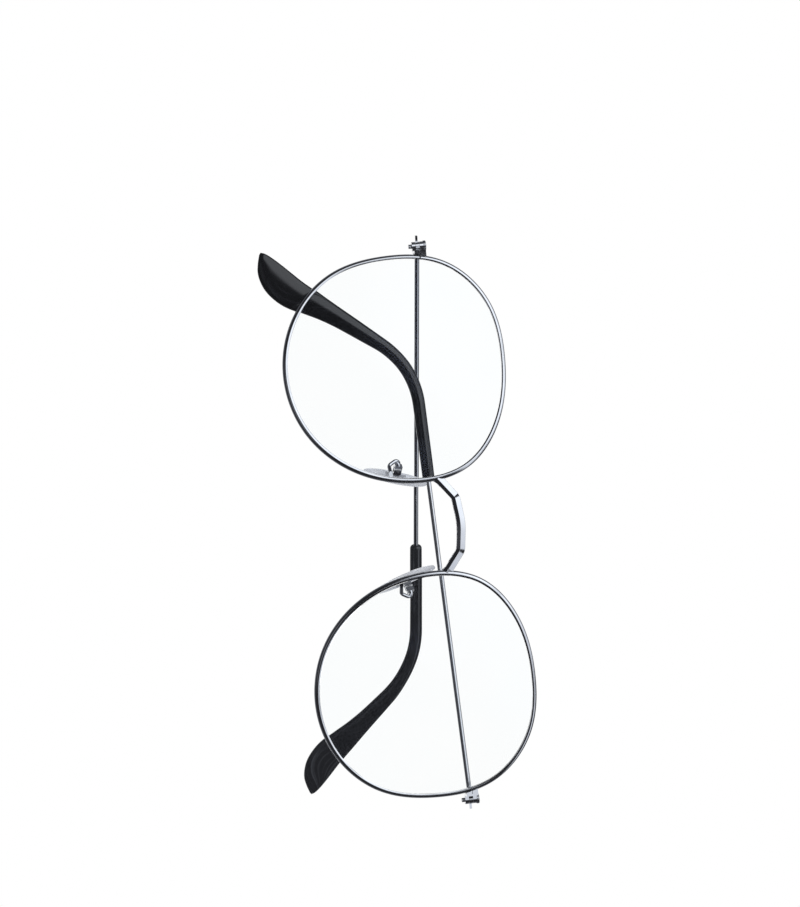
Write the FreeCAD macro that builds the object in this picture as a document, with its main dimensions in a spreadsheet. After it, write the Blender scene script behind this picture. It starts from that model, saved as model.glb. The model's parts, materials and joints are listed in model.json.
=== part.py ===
import FreeCAD, Part
import Sketcher
import math
import os

# Round eyeglasses with a thin wire front, in millimetres, +Z up.
# The front faces -Y and the wearer's left is +X.
# The origin is the nose rest, halfway between the two nose pads.
# The temples are folded: the left one lies next to the lenses, the right one stands off behind it.

Vector = FreeCAD.Vector
Placement = FreeCAD.Placement
Rotation = FreeCAD.Rotation
UP = Vector(0, 0, 1)
BACK = Vector(0, 1, 0)
OUT = Vector(1, 0, 0)
SIDES = (("left", 1), ("right", -1))

# Which point of a sketch element a constraint holds, and the element that stands for the origin
START, END, CENTRE = range(1, 4)
SKETCH_AXES = -1

# Driving dimensions: lengths in millimetres, angles in degrees.
SIZES = {
    # lens pair
    "lens_gap": 22.1,
    "lens_radius": 26.75,
    "wrap_angle": 7.0,
    "outline_tolerance": 0.02,
    "lens_thickness": 1.8,
    "lens_curve_radius": 120.0,
    "lens_fit": 0.03,
    "bevel_height": 0.4,
    "bevel_width": 0.85,
    # rim wire
    "rim_width": 1.15,
    "rim_depth": 1.5,
    "groove_depth": 0.46,
    "groove_width": 1.0,
    "rim_slit": 0.12,
    # bridge
    "bridge_root_height": 6.5,
    "bridge_bend_height": 10.3,
    "bridge_crown_height": 11.1,
    "bridge_bend_spread": 12.6,
    "bridge_bend_radius": 2.2,
    "bridge_crown_radius": 16.0,
    "bridge_height": 2.05,
    "bridge_depth": 1.4,
    "bridge_ridge_height": 0.8,
    "bridge_face_fall": 0.45,
    # hinges and the blocks that close the rims
    "hinge_height": 8.5,
    "hinge_outset": 2.516,
    "hinge_setback": 2.77,
    "barrel_radius": 1.05,
    "barrel_height": 2.8,
    "middle_knuckle_height": 0.9,
    "knuckle_gap": 0.05,
    "pivot_fit": 0.04,
    "swing_clearance": 0.15,
    "end_plate_thickness": 0.5,
    "end_plate_back_gap": 0.15,
    "block_front_depth": 0.95,
    "block_back_depth": 2.35,
    "block_width": 1.35,
    # hinge screws
    "hinge_screw_radius": 0.5,
    "hinge_screw_head_radius": 1.2,
    "hinge_screw_head_height": 0.6,
    "hinge_screw_tip": 0.7,
    "hinge_screw_slot_width": 0.3,
    "hinge_screw_slot_depth": 0.25,
    # screws that lock the rims round the lenses
    "lock_screw_radius": 0.35,
    "lock_screw_head_radius": 0.55,
    "lock_screw_head_height": 0.4,
    "lock_screw_end_cover": 0.3,
    "lock_screw_slot_width": 0.18,
    "lock_screw_slot_depth": 0.15,
    "screw_fit": 0.02,
    # nose pads
    "pad_outset": 1.1,
    "pad_setback": 2.6,
    "pad_drop": 2.7,
    "pad_length": 15.6,
    "pad_width": 7.2,
    "pad_bulge": 1.1,
    "pad_back_depth": 0.7,
    "pad_front_rounding": 1.0,
    "pad_back_rounding": 0.35,
    "pad_flare_angle": 18.0,
    "pad_splay_angle": 17.0,
    # core moulded into each pad, with the stem that the pad rocks on
    "core_length": 5.0,
    "core_width": 2.4,
    "core_thickness": 0.6,
    "stem_radius": 0.7,
    "stem_width": 1.4,
    "stem_clearance": 0.06,
    "pad_axis_depth": 2.0,
    # box at the end of each pad arm
    "box_wall": 0.45,
    "box_height": 1.8,
    "box_standoff": 0.45,
    "pad_screw_radius": 0.35,
    "pad_screw_head_radius": 0.7,
    "pad_screw_head_height": 0.35,
    "pad_screw_slot_width": 0.2,
    "pad_screw_slot_depth": 0.15,
    # pad arms
    "arm_wire_radius": 0.45,
    "arm_foot_height": -4.3,
    "arm_foot_reach": 0.8,
    "arm_foot_rise": 1.25,
    "arm_loop_reach": 3.5,
    "arm_loop_setback": -0.7,
    "arm_bend_radius": 1.0,
    # temple arms and knuckles
    "temple_wire_radius": 0.575,
    "temple_offset": 0.8,
    "tongue_length": 1.6,
    "tongue_thickness": 0.9,
    "tail_length": 2.35,
    "tail_height": 0.55,
    "tail_thickness": 0.6,
    "temple_core_end": 14.0,
    "left_bend_distance": 104.8,
    "left_bend_radius": 20.0,
    "left_pitch_angle": 1.75,
    "left_bend_angle": 51.95,
    "left_fold_angle": 1.0,
    "right_bend_distance": 107.3,
    "right_bend_radius": 25.0,
    "right_pitch_angle": 2.85,
    "right_bend_angle": 45.05,
    "right_fold_angle": 16.0,
    # temple tips
    "left_tip_start": 76.6,
    "left_tip_drop_length": 44.95,
    "right_tip_start": 75.1,
    "right_tip_drop_length": 41.25,
    "tip_paddle_height": 7.7,
    "tip_neck_thickness": 2.8,
    "core_fit": 0.02,
}

# Radii of the lens outline as shares of the mean radius, every 30 degrees from the outer side,
# over the top, to the nose and back under the lens.
OUTLINE_RADIUS_SHARES = (0.985, 1.036, 1.009, 0.949, 0.986, 1.050, 1.005, 0.986, 0.992, 0.997, 1.004, 1.003)

# Stations of a temple tip: the place as a share of the tip's length, the distances of its inner
# and outer edges from the wire as shares of half the paddle height, and the thickness as a share
# of the neck thickness.
TIP_STATION_SHARES = (
    (0.000, 0.350, 0.350, 0.94),
    (0.015, 0.377, 0.377, 1.00),
    (0.150, 0.377, 0.385, 1.00),
    (0.290, 0.390, 0.390, 1.00),
    (0.390, 0.403, 0.403, 1.00),
    (0.446, 0.434, 0.395, 0.99),
    (0.501, 0.455, 0.410, 0.98),
    (0.557, 0.494, 0.480, 0.96),
    (0.613, 0.532, 0.550, 0.94),
    (0.668, 0.584, 0.610, 0.92),
    (0.724, 0.706, 0.680, 0.90),
    (0.779, 0.900, 0.763, 0.88),
    (0.835, 1.085, 0.835, 0.86),
    (0.876, 1.070, 0.935, 0.85),
    (0.918, 0.888, 1.039, 0.82),
    (0.950, 0.560, 1.100, 0.78),
    (0.975, 0.120, 1.120, 0.66),
    (0.990, -0.380, 1.090, 0.50),
    (1.000, -0.850, 1.020, 0.14),
)

doc = FreeCAD.newDocument("eyeglasses")
sheet = doc.addObject("Spreadsheet::Sheet", "Sizes")


def fill_sheet():
    for row, (alias, value) in enumerate(SIZES.items(), start=1):
        sheet.set("A%d" % row, alias)
        sheet.set("B%d" % row, str(value))
        sheet.setAlias("B%d" % row, alias)
    doc.recompute()


def size(alias):
    return float(sheet.get(alias))


def from_lens_line(x, y, z):
    """A point given from the middle of the line between the lens centres."""
    return Vector(x, y - size("pad_setback"), z + size("pad_drop"))


# Helpers that add document objects

def in_millimetres(length):
    """A length worked out in code, as a formula."""
    return "%f mm" % length


def bind(item, **formulas):
    for name, formula in formulas.items():
        item.setExpression(name, formula)


def add_box(name, corner, length, width, height):
    box = doc.addObject("Part::Box", name)
    bind(box, Length=length, Width=width, Height=height)
    box.Placement.Base = corner
    return box


def add_cylinder(name, base, radius, height, direction=UP):
    cylinder = doc.addObject("Part::Cylinder", name)
    bind(cylinder, Radius=radius, Height=height)
    cylinder.Placement = Placement(base, Rotation(UP, direction))
    return cylinder


def add_fuse(name, *pieces):
    fuse = doc.addObject("Part::MultiFuse", name)
    fuse.Shapes = list(pieces)
    fuse.Refine = True
    return fuse


def add_cut(name, base, *tools):
    cut = doc.addObject("Part::Cut", name)
    cut.Base = base
    cut.Tool = tools[0] if len(tools) == 1 else add_fuse(name + "_tools", *tools)
    cut.Refine = True
    return cut


def add_feature(name, shape, placement=None):
    feature = doc.addObject("Part::Feature", name)
    feature.Shape = shape
    if placement is not None:
        feature.Placement = placement
    return feature


def add_mirrored(name, source):
    mirrored = doc.addObject("Part::Mirroring", name)
    mirrored.Source = source
    mirrored.Normal = OUT
    return mirrored


# Helpers that make shapes

def rounded_path(points, radii):
    """Straight runs joined by tangent arcs, one radius for each inner point."""
    edges = []
    start = points[0]
    for before, corner, after, radius in zip(points, points[1:], points[2:], radii):
        to_before = (before - corner).normalize()
        to_after = (after - corner).normalize()
        half_turn = (math.pi - to_before.getAngle(to_after)) / 2
        arc_start = corner + to_before * (radius * math.tan(half_turn))
        arc_end = corner + to_after * (radius * math.tan(half_turn))
        inward = (to_before + to_after).normalize()
        arc_middle = corner + inward * (radius / math.cos(half_turn) - radius)
        edges.append(Part.LineSegment(start, arc_start).toShape())
        edges.append(Part.Arc(arc_start, arc_middle, arc_end).toShape())
        start = arc_end
    edges.append(Part.LineSegment(start, points[-1]).toShape())
    return Part.Wire(edges)


def start_of(path):
    """The first point of a path and the direction in which it leaves."""
    first = path.OrderedEdges[0]
    at_start = first.FirstParameter if first.Orientation == "Forward" else first.LastParameter
    direction = first.tangentAt(at_start)
    if first.Orientation == "Reversed":
        direction = direction.negative()
    return first.valueAt(at_start), direction


def swept(path, profile, binormal):
    """A profile carried along a flat path, kept square to the path's plane."""
    sweep = Part.BRepOffsetAPI.MakePipeShell(path)
    sweep.setBiNormalMode(binormal)
    sweep.add(profile)
    sweep.build()
    sweep.makeSolid()
    return sweep.shape()


def round_wire(path, radius):
    point, direction = start_of(path)
    circle = Part.Wire(Part.makeCircle(radius, point, direction))
    return path.makePipeShell([circle], True, False)


def closed_wire(corners):
    return Part.makePolygon(list(corners) + [corners[0]])


# Lens outline, rims and lenses, in the plane of the left lens: x outward, y back, z up

def lens_outline():
    """The closed line that the middle of the rim wire follows."""
    points = []
    for step, share in enumerate(OUTLINE_RADIUS_SHARES):
        angle = 2 * math.pi * step / len(OUTLINE_RADIUS_SHARES)
        radius = size("lens_radius") * share
        points.append(Vector(radius * math.cos(angle), 0, radius * math.sin(angle)))
    curve = Part.BSplineCurve()
    curve.interpolate(Points=points, PeriodicFlag=True)
    arcs = curve.toBiArcs(size("outline_tolerance"))
    return Part.Wire([arc.toShape() for arc in arcs])


def lens_placement():
    turn = Rotation(UP, size("wrap_angle"))
    return Placement(from_lens_line(size("lens_gap") / 2 + size("lens_radius"), 0, 0), turn)


def rim_reach(height, outward):
    """How far the rim's middle line lies from the lens centre, at a height on one side."""
    end = OUT * (2 * size("lens_radius") * outward) + UP * height
    chord = Part.Face(lens_outline()).common(Part.makeLine(UP * height, end))
    return chord.BoundBox.XMax if outward > 0 else chord.BoundBox.XMin


def rim_point(height, outward):
    """The same place on the left rim, in the frame of the part."""
    return lens_placement().multVec(Vector(rim_reach(height, outward), 0, height))


def across_rim(path):
    """Turns distances outward and back from the rim's middle line into points at the path's start."""
    origin, along = start_of(path)
    outward = BACK.cross(along)
    return lambda out, back: origin + outward * out + BACK * back


def rim_profile(at):
    """Round wire, cut flat on the inside, with the groove that holds the edge of the lens."""
    half_width = size("rim_width") / 2
    half_flat = math.sqrt(size("rim_width") * (size("rim_depth") - size("rim_width")))
    half_groove = size("groove_width") / 2
    corners = (
        at(-half_width, half_flat),
        at(-half_width, half_groove),
        at(size("groove_depth") - half_width, 0),
        at(-half_width, -half_groove),
        at(-half_width, -half_flat),
    )
    runs = [Part.LineSegment(begin, end).toShape() for begin, end in zip(corners, corners[1:])]
    round_face = Part.Arc(corners[-1], at(half_width, 0), corners[0]).toShape()
    return Part.Wire(runs + [round_face])


def rim_shape():
    path = lens_outline()
    rim = swept(path, rim_profile(across_rim(path)), BACK)
    width = 2 * size("rim_width")
    depth = 2 * size("rim_depth")
    reach = rim_reach(size("hinge_height"), 1)
    corner = Vector(reach - width / 2, -depth / 2, size("hinge_height") - size("rim_slit") / 2)
    return rim.cut(Part.makeBox(width, depth, size("rim_slit"), corner))


def inside_shape():
    """Everything that the rim's middle line encloses, for trimming what is brazed to the rim."""
    depth = 2 * size("rim_depth")
    face = Part.Face(lens_outline())
    face.translate(BACK * (-depth / 2))
    return face.extrude(BACK * depth)


def lens_shape():
    path = lens_outline()
    edge = -size("rim_width") / 2 - size("lens_fit")
    thickness = size("lens_thickness")
    curve_radius = size("lens_curve_radius")
    centre_depth = math.sqrt(curve_radius ** 2 - size("lens_radius") ** 2) - thickness / 2
    centre = BACK * centre_depth
    front_reach = curve_radius - centre_depth + thickness
    blank = Part.Face(path.makeOffset2D(edge))
    blank.translate(BACK * -front_reach)
    blank = blank.extrude(BACK * (2 * front_reach))
    disc = blank.common(Part.makeSphere(curve_radius, centre))
    disc = disc.cut(Part.makeSphere(curve_radius - thickness, centre))
    at = across_rim(path)
    root = edge - size("bevel_height")
    half_root = size("bevel_width")
    bevel = swept(path, closed_wire((
        at(root, -half_root),
        at(edge + size("bevel_height"), 0),
        at(root, half_root),
    )), BACK)
    return disc.fuse(bevel).removeSplitter()


def make_lenses_and_rims():
    rim = add_feature("left_rim", rim_shape(), lens_placement())
    lens = add_feature("left_lens", lens_shape(), lens_placement())
    return {
        "left_rim": rim,
        "right_rim": add_mirrored("right_rim", rim),
        "left_lens": lens,
        "right_lens": add_mirrored("right_lens", lens),
    }


# Bridge: a faceted bar that arches from rim to rim

def bridge_shape():
    root = rim_point(size("bridge_root_height"), -1)
    bend_x = size("bridge_bend_spread") / 2
    bend = from_lens_line(bend_x, 0, size("bridge_bend_height"))
    crown = from_lens_line(0, 0, size("bridge_crown_height"))
    corners = []
    for x, z in ((root.x, root.z), (bend_x, bend.z), (0, crown.z), (-bend_x, bend.z), (-root.x, root.z)):
        corners.append(Vector(x, root.y, z))
    bend_radius = size("bridge_bend_radius")
    path = rounded_path(corners, (bend_radius, size("bridge_crown_radius"), bend_radius))
    origin, along = start_of(path)
    upward = along.cross(BACK)
    if upward.z < 0:
        upward = upward.negative()
    half_height = size("bridge_height") / 2
    half_depth = size("bridge_depth") / 2
    face = half_depth - size("bridge_face_fall")
    profile = [
        (half_height, half_depth),
        (-half_height, half_depth),
        (-half_height, -face),
        (size("bridge_ridge_height") - half_height, -half_depth),
        (half_height, -face),
    ]
    return swept(path, closed_wire([origin + upward * up + BACK * back for up, back in profile]), BACK)


def make_bridge(front, inside):
    bar = add_feature("bridge_bar", bridge_shape())
    bridge = add_cut("bridge", bar, front["left_rim"], front["right_rim"], inside["left"], inside["right"])
    return {"bridge": bridge}


# Screws: a slotted round head on a shank that runs down from it

def sketch_on_ground_plane(body, name):
    plane = next(item for item in body.Origin.OriginFeatures if item.Role == "XY_Plane")
    sketch = body.newObject("Sketcher::SketchObject", name)
    sketch.AttachmentSupport = (plane, "")
    sketch.MapMode = "FlatFace"
    return sketch


def add_round_pad(body, name, radius, length, downward):
    sketch = sketch_on_ground_plane(body, name + "_sketch")
    sketch.addGeometry(Part.Circle(Vector(), UP, size(radius)))
    sketch.addConstraint(Sketcher.Constraint("Coincident", 0, CENTRE, SKETCH_AXES, START))
    sketch.addConstraint(Sketcher.Constraint("Radius", 0, size(radius)))
    sketch.setExpression("Constraints[1]", "Sizes." + radius)
    pad = body.newObject("PartDesign::Pad", name)
    pad.Profile = sketch
    pad.setExpression("Length", length)
    pad.Reversed = downward


def add_slot(body, name, kind):
    """The driver slot across the head: a strip held about the sketch's middle by its sizes."""
    sketch = sketch_on_ground_plane(body, name + "_sketch")
    sketch.setExpression(".AttachmentOffset.Base.z", "Sizes." + kind + "_head_height")
    reach = size(kind + "_head_radius")
    half_slot = size(kind + "_slot_width") / 2
    corners = [Vector(x, y, 0) for x, y in (
        (-reach, -half_slot), (reach, -half_slot), (reach, half_slot), (-reach, half_slot))]
    for begin, end in zip(corners, corners[1:] + corners[:1]):
        sketch.addGeometry(Part.LineSegment(begin, end))
    for side in range(len(corners)):
        following = (side + 1) % len(corners)
        sketch.addConstraint(Sketcher.Constraint("Coincident", side, END, following, START))
    for side, direction in enumerate(("Horizontal", "Vertical", "Horizontal", "Vertical")):
        sketch.addConstraint(Sketcher.Constraint(direction, side))
    sketch.addConstraint(Sketcher.Constraint("Symmetric", 0, START, 2, START, SKETCH_AXES, START))
    length = sketch.addConstraint(Sketcher.Constraint("Distance", 0, 2 * reach))
    width = sketch.addConstraint(Sketcher.Constraint("Distance", 1, 2 * half_slot))
    sketch.setExpression("Constraints[%d]" % length, "2 * Sizes.%s_head_radius" % kind)
    sketch.setExpression("Constraints[%d]" % width, "Sizes.%s_slot_width" % kind)
    pocket = body.newObject("PartDesign::Pocket", name)
    pocket.Profile = sketch
    pocket.setExpression("Length", "Sizes." + kind + "_slot_depth")
    return pocket


def make_screw(name, kind, shank_length, placement):
    """A screw with its origin under the head and its shank running down."""
    body = doc.addObject("PartDesign::Body", name)
    add_round_pad(body, name + "_head", kind + "_head_radius", "Sizes." + kind + "_head_height", False)
    add_round_pad(body, name + "_shank", kind + "_radius", shank_length, True)
    doc.recompute()
    unslotted = body.Shape.Volume
    body.Tip = add_slot(body, name + "_slot", kind)
    doc.recompute()
    if body.Shape.Volume >= unslotted:
        raise RuntimeError(name + ": the slot cuts nothing")
    body.Placement = placement
    return body


# Hinges: two outer knuckles on the front, a middle knuckle on the temple, and the closing blocks

def hinge_point():
    beside = OUT * size("hinge_outset") + BACK * size("hinge_setback")
    return rim_point(size("hinge_height"), 1) + beside


def plate_inner_face():
    gap = size("barrel_radius") + size("swing_clearance") + size("end_plate_thickness")
    return hinge_point().x - gap


def block_front():
    return rim_point(size("hinge_height"), 1).y - size("block_front_depth")


def make_end_piece(front):
    """The plate beside the closing blocks, with an ear to each of the two outer knuckles."""
    axis = hinge_point()
    bottom = axis - UP * (size("barrel_height") / 2)
    plate_depth = axis.y - size("end_plate_back_gap") - block_front()
    plate = add_box("end_plate", Vector(plate_inner_face(), block_front(), bottom.z),
                    "Sizes.end_plate_thickness", in_millimetres(plate_depth), "Sizes.barrel_height")
    knuckle_height = "(Sizes.barrel_height - Sizes.middle_knuckle_height) / 2 - Sizes.knuckle_gap"
    rise = (size("barrel_height") + size("middle_knuckle_height")) / 2 + size("knuckle_gap")
    pieces = [plate]
    for level, base in (("lower", bottom), ("upper", bottom + UP * rise)):
        pieces.append(add_cylinder(level + "_knuckle", base, "Sizes.barrel_radius", knuckle_height))
        ear_corner = Vector(plate_inner_face(), base.y - size("barrel_radius"), base.z)
        pieces.append(add_box(level + "_ear", ear_corner,
                              "Sizes.barrel_radius + Sizes.swing_clearance + Sizes.end_plate_thickness",
                              "Sizes.barrel_radius", knuckle_height))
    bore = add_cylinder("end_piece_bore", bottom, "Sizes.hinge_screw_radius + Sizes.screw_fit",
                        "Sizes.barrel_height")
    return add_cut("left_end_piece", add_fuse("end_piece_blank", *pieces), bore, front["left_rim"])


def lock_screw_seat():
    """Where the lock screw's head sits, up inside the lower block, behind the rim wire."""
    behind_rim = (size("rim_depth") / 2 + size("block_back_depth")) / 2
    back = rim_point(size("hinge_height"), 1).y + behind_rim
    seat_height = hinge_point().z - size("barrel_height") / 2 + size("lock_screw_head_height")
    return Vector(plate_inner_face() - size("block_width") / 2, back, seat_height)


def closing_block(name, bottom, counterbored, front, inside):
    """Half of the block that draws the two ends of the rim wire together."""
    block = add_box(name + "_blank", Vector(plate_inner_face() - size("block_width"), block_front(), bottom),
                    "Sizes.block_width", "Sizes.block_front_depth + Sizes.block_back_depth",
                    "(Sizes.barrel_height - Sizes.rim_slit) / 2")
    below = lock_screw_seat() - UP * size("lock_screw_head_height")
    tools = [front["left_rim"], inside["left"]]
    tools.append(add_cylinder(name + "_bore", below, "Sizes.lock_screw_radius + Sizes.screw_fit",
                              "Sizes.barrel_height - Sizes.lock_screw_end_cover"))
    if counterbored:
        tools.append(add_cylinder(name + "_counterbore", below,
                                  "Sizes.lock_screw_head_radius + Sizes.screw_fit",
                                  "Sizes.lock_screw_head_height"))
    return add_cut(name, block, *tools)


def make_hinges(front, inside):
    axis = hinge_point()
    bottom = axis.z - size("barrel_height") / 2
    end_piece = make_end_piece(front)
    lower = closing_block("left_lower_block", bottom, True, front, inside)
    upper = closing_block("left_upper_block", axis.z + size("rim_slit") / 2, False, front, inside)
    nodes = {
        "left_end_piece": end_piece,
        "right_end_piece": add_mirrored("right_end_piece", end_piece),
        "left_lower_block": lower,
        "right_lower_block": add_mirrored("right_lower_block", lower),
        "left_upper_block": upper,
        "right_upper_block": add_mirrored("right_upper_block", upper),
    }
    head_seat = axis + UP * (size("barrel_height") / 2)
    lock_seat = lock_screw_seat()
    for side_name, side in SIDES:
        at_axis = Placement(Vector(side * head_seat.x, head_seat.y, head_seat.z), Rotation())
        name = side_name + "_hinge_screw"
        nodes[name] = make_screw(name, "hinge_screw", "Sizes.barrel_height + Sizes.hinge_screw_tip", at_axis)
        upside_down = Rotation(OUT, 180)
        at_block = Placement(Vector(side * lock_seat.x, lock_seat.y, lock_seat.z), upside_down)
        name = side_name + "_lock_screw"
        length = "Sizes.barrel_height - Sizes.lock_screw_head_height - 2 * Sizes.lock_screw_end_cover"
        nodes[name] = make_screw(name, "lock_screw", length, at_block)
    return nodes


# Temples: built along the folded arm from the hinge axis, then turned by the fold angle.
# Here "along" runs from the hinge toward the other side, "out" is away from the lenses.

def temple_placement(side_name, side):
    axis = hinge_point()
    turn = Rotation(UP, -side * size(side_name + "_fold_angle"))
    return Placement(Vector(side * axis.x, axis.y, axis.z), turn)


def make_temple_knuckle(side_name, side, placement):
    """The middle knuckle, the tongue that carries the arm, and the tail that stops the temple."""
    height = size("middle_knuckle_height")
    offset = size("temple_offset")
    tongue_length = size("tongue_length")
    tail_length = size("tail_length")
    prefix = side_name + "_temple_"
    barrel = add_cylinder(prefix + "barrel", UP * (-height / 2), "Sizes.barrel_radius",
                          "Sizes.middle_knuckle_height")
    tongue_corner = Vector(min(0, -side * tongue_length), offset - size("tongue_thickness") / 2, -height / 2)
    tongue = add_box(prefix + "tongue", tongue_corner, "Sizes.tongue_length", "Sizes.tongue_thickness",
                     "Sizes.middle_knuckle_height")
    tail_corner = Vector(min(0, side * tail_length), offset - size("tail_thickness") / 2,
                         -size("tail_height") / 2)
    tail = add_box(prefix + "tail", tail_corner, "Sizes.tail_length", "Sizes.tail_thickness",
                   "Sizes.tail_height")
    blank = add_fuse(prefix + "knuckle_blank", barrel, tongue, tail)
    bore = add_cylinder(prefix + "bore", UP * (-height / 2), "Sizes.hinge_screw_radius + Sizes.pivot_fit",
                        "Sizes.middle_knuckle_height")
    knuckle = add_cut(side_name + "_temple_knuckle", blank, bore)
    knuckle.Placement = placement
    return knuckle


def temple_directions(side_name, side, turned):
    """The direction of the arm and the upward square to it, before or after the bend."""
    angle = math.radians(size(side_name + "_pitch_angle"))
    if turned:
        angle += math.radians(size(side_name + "_bend_angle"))
    along = Vector(-side * math.cos(angle), 0, -math.sin(angle))
    upward = Vector(-side * math.sin(angle), 0, math.cos(angle))
    return along, upward


def temple_path(side_name, side, start, end):
    """The line of the arm between two distances from the hinge, measured along the wire."""
    before, upward_before = temple_directions(side_name, side, False)
    after, upward_after = temple_directions(side_name, side, True)
    half_bend = math.radians(size(side_name + "_bend_angle")) / 2
    radius = size(side_name + "_bend_radius")
    run = radius * math.tan(half_bend)
    origin = BACK * size("temple_offset")
    corner = origin + before * size(side_name + "_bend_distance")
    arc_start = corner - before * run
    arc_end = corner + after * run
    arc_middle = corner + (after - before).normalize() * (radius / math.cos(half_bend) - radius)
    straight = (arc_start - origin).Length
    arc_length = 2 * half_bend * radius

    def frame_at(distance):
        """A point on the line, with the directions along it and square to it."""
        if distance <= straight:
            return origin + before * distance, before, upward_before
        if distance >= straight + arc_length:
            return arc_end + after * (distance - straight - arc_length), after, upward_after
        turned = (distance - straight) / radius
        along = before * math.cos(turned) - upward_before * math.sin(turned)
        upward = before * math.sin(turned) + upward_before * math.cos(turned)
        centre = arc_start - upward_before * radius
        return centre + upward * radius, along, upward

    first = frame_at(start)[0]
    last = frame_at(end)[0]
    edges = [Part.Arc(arc_start, arc_middle, arc_end).toShape(), Part.LineSegment(arc_end, last).toShape()]
    if start < straight:
        edges.insert(0, Part.LineSegment(first, arc_start).toShape())
    return Part.Wire(edges), frame_at


def arm_start(side_name):
    """Where the wire begins, so that its pitched end face just meets the end of the tongue."""
    pitch = math.radians(size(side_name + "_pitch_angle"))
    return size("tongue_length") / math.cos(pitch) + size("temple_wire_radius") * math.tan(pitch)


def tip_end_distance(side_name):
    half_bend = math.radians(size(side_name + "_bend_angle")) / 2
    shortening = 2 * size(side_name + "_bend_radius") * (math.tan(half_bend) - half_bend)
    return size(side_name + "_bend_distance") + size(side_name + "_tip_drop_length") - shortening


def make_temple_arm(side_name, side, placement):
    end = tip_end_distance(side_name) - size("temple_core_end")
    path, frame_at = temple_path(side_name, side, arm_start(side_name), end)
    return add_feature(side_name + "_temple_arm", round_wire(path, size("temple_wire_radius")), placement)


def make_temple_tip(side_name, side, placement):
    """The sleeve over the end of the arm: a slim neck that widens into a paddle."""
    start = size(side_name + "_tip_start")
    end = tip_end_distance(side_name)
    core_end = end - size("temple_core_end")
    path, frame_at = temple_path(side_name, side, arm_start(side_name), core_end)
    half_paddle = size("tip_paddle_height") / 2
    sections = []
    for place_share, inner_share, outer_share, thickness_share in TIP_STATION_SHARES:
        point, along, upward = frame_at(start + (end - start) * place_share)
        middle = point + upward * (half_paddle * (outer_share - inner_share) / 2)
        half_height = half_paddle * (outer_share + inner_share) / 2
        half_thickness = size("tip_neck_thickness") / 2 * thickness_share
        top = middle + upward * half_height
        side_point = middle + BACK * half_thickness
        sections.append(Part.Wire(Part.Ellipse(top, side_point, middle).toShape()))
    sleeve = Part.makeLoft(sections, True, False)
    hole = round_wire(path, size("temple_wire_radius") + size("core_fit"))
    return add_feature(side_name + "_temple_tip", sleeve.cut(hole), placement)


def make_temples():
    nodes = {}
    for side_name, side in SIDES:
        placement = temple_placement(side_name, side)
        nodes[side_name + "_temple_knuckle"] = make_temple_knuckle(side_name, side, placement)
        nodes[side_name + "_temple_arm"] = make_temple_arm(side_name, side, placement)
        nodes[side_name + "_temple_tip"] = make_temple_tip(side_name, side, placement)
    return nodes


# Nose pads, in the frame of the left pad: x away from the nose, y back, z up along the pad

def pad_placement():
    splay = Rotation(BACK, -size("pad_splay_angle"))
    flare = Rotation(UP, -size("pad_flare_angle"))
    return Placement(OUT * (size("lens_gap") / 2 + size("pad_outset")), splay.multiply(flare))


def make_pad_core():
    plate = add_box("core_plate", Vector(0, -size("core_width") / 2, -size("core_length") / 2),
                    "Sizes.core_thickness", "Sizes.core_width", "Sizes.core_length")
    stem = add_box("core_stem", Vector(0, -size("stem_width") / 2, -size("stem_radius")),
                   "Sizes.pad_axis_depth", "Sizes.stem_width", "2 * Sizes.stem_radius")
    axis = Vector(size("pad_axis_depth"), -size("stem_width") / 2, 0)
    eye = add_cylinder("core_eye", axis, "Sizes.stem_radius", "Sizes.stem_width", BACK)
    hole = add_cylinder("core_hole", axis, "Sizes.pad_screw_radius + Sizes.pivot_fit", "Sizes.stem_width",
                        BACK)
    blank = add_fuse("core_blank", plate, stem, eye)
    return add_cut("left_pad_core", blank, hole), blank


def make_pad(core_blank):
    """An oval pad, well rounded toward the nose, hollowed for its core."""
    oval = doc.addObject("Part::Ellipse", "pad_oval")
    bind(oval, MajorRadius="Sizes.pad_length / 2", MinorRadius="Sizes.pad_width / 2")
    oval.Placement = Placement(OUT * -size("pad_bulge"), Rotation(UP, BACK, OUT.negative()))
    block = doc.addObject("Part::Extrusion", "pad_block")
    block.Base = oval
    block.DirMode = "Custom"
    block.Dir = OUT
    block.Solid = True
    bind(block, LengthFwd="Sizes.pad_bulge + Sizes.pad_back_depth")
    doc.recompute()
    rounded = doc.addObject("Part::Fillet", "pad_blank")
    rounded.Base = block
    roundings = []
    for number, edge in enumerate(block.Shape.Edges, start=1):
        if not edge.isClosed():
            continue
        toward_nose = edge.valueAt(edge.FirstParameter).x < 0
        radius = size("pad_front_rounding") if toward_nose else size("pad_back_rounding")
        roundings.append((number, radius, radius))
    rounded.Edges = roundings
    return add_cut("left_nose_pad", rounded, core_blank)


def box_base_depth():
    """How deep the base of the pad box lies, clear of the round end of the stem."""
    return size("pad_axis_depth") + size("stem_radius") + size("stem_clearance")


def pad_box():
    """A channel that holds the stem between two walls, open toward the pad."""
    half_width = size("stem_width") / 2 + size("stem_clearance") + size("box_wall")
    opening = size("pad_back_depth") + size("box_standoff")
    height = "Sizes.box_height"
    pieces = [add_box("box_base", Vector(box_base_depth(), -half_width, -size("box_height") / 2),
                      "Sizes.box_wall", in_millimetres(2 * half_width), height)]
    for name, wall_y in (("front", -half_width), ("back", half_width - size("box_wall"))):
        pieces.append(add_box("box_%s_wall" % name, Vector(opening, wall_y, -size("box_height") / 2),
                              in_millimetres(box_base_depth() + size("box_wall") - opening),
                              "Sizes.box_wall", height))
    axis = Vector(size("pad_axis_depth"), -half_width, 0)
    hole = add_cylinder("box_hole", axis, "Sizes.pad_screw_radius + Sizes.screw_fit",
                        in_millimetres(2 * half_width), BACK)
    return add_cut("pad_box", add_fuse("box_blank", *pieces), hole)


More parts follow.
